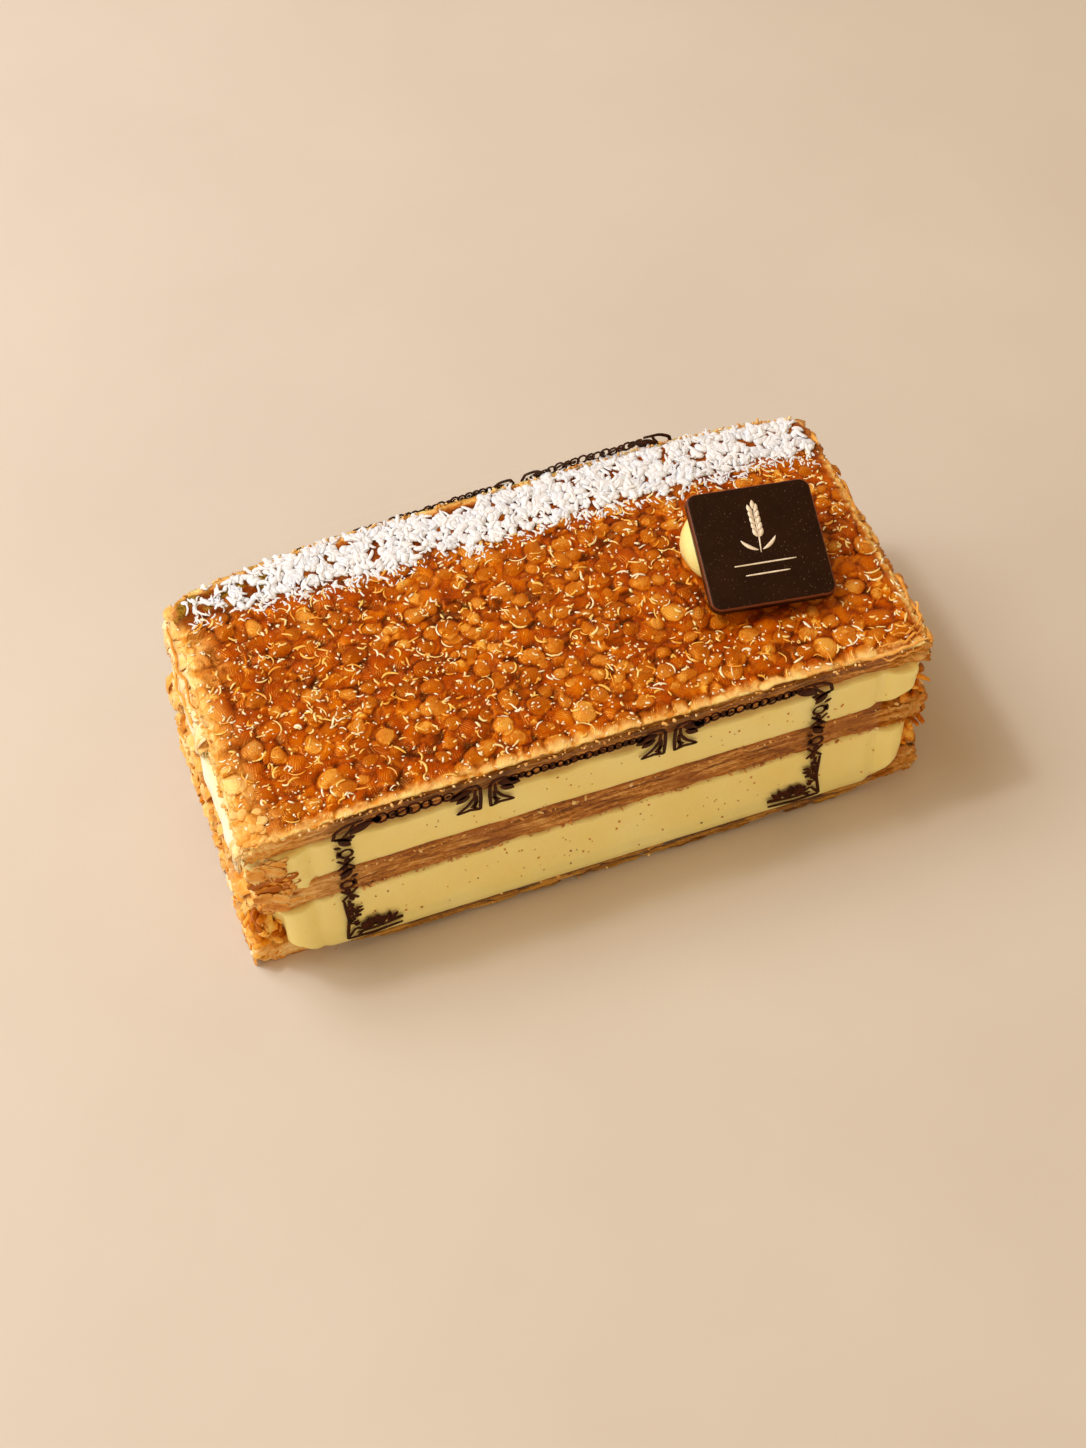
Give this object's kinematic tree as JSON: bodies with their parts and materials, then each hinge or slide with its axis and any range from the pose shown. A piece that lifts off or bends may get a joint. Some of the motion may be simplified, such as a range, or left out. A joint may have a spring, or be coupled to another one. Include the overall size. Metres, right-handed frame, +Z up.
{
  "type": "mille-feuille",
  "caption": "Oblong mille-feuille slice: flaky pastry sheets layered with vanilla cream, caramelised top with a sugar band and a small chocolate plaque, printed clear film on its long sides.",
  "frame": {"origin": "under the middle of the slice, on the surface it lies on", "axes": "+X along the length towards the plaque's end, +Y towards the sugared back side, +Z up"},
  "size_m": [0.1288, 0.063, 0.0483],
  "materials": {
    "pastry": "dry baked puff pastry, flaky and matte",
    "caramel": "glossy blistered caramelised pastry with a white sugar band",
    "cream": "smooth pale yellow vanilla cream with fine dark specks",
    "chocolate": "satin dark chocolate",
    "film": "thin clear food film with a dark printed frame"
  },
  "bodies": {
    "root": {"pastry_bottom": "pastry", "pastry_middle": "pastry", "pastry_top": "caramel", "cream_lower": "cream", "cream_upper": "cream", "cream_dollop": "cream", "chocolate_plaque": "chocolate", "film_front": "film", "film_back": "film"}
  },
  "joints": []
}
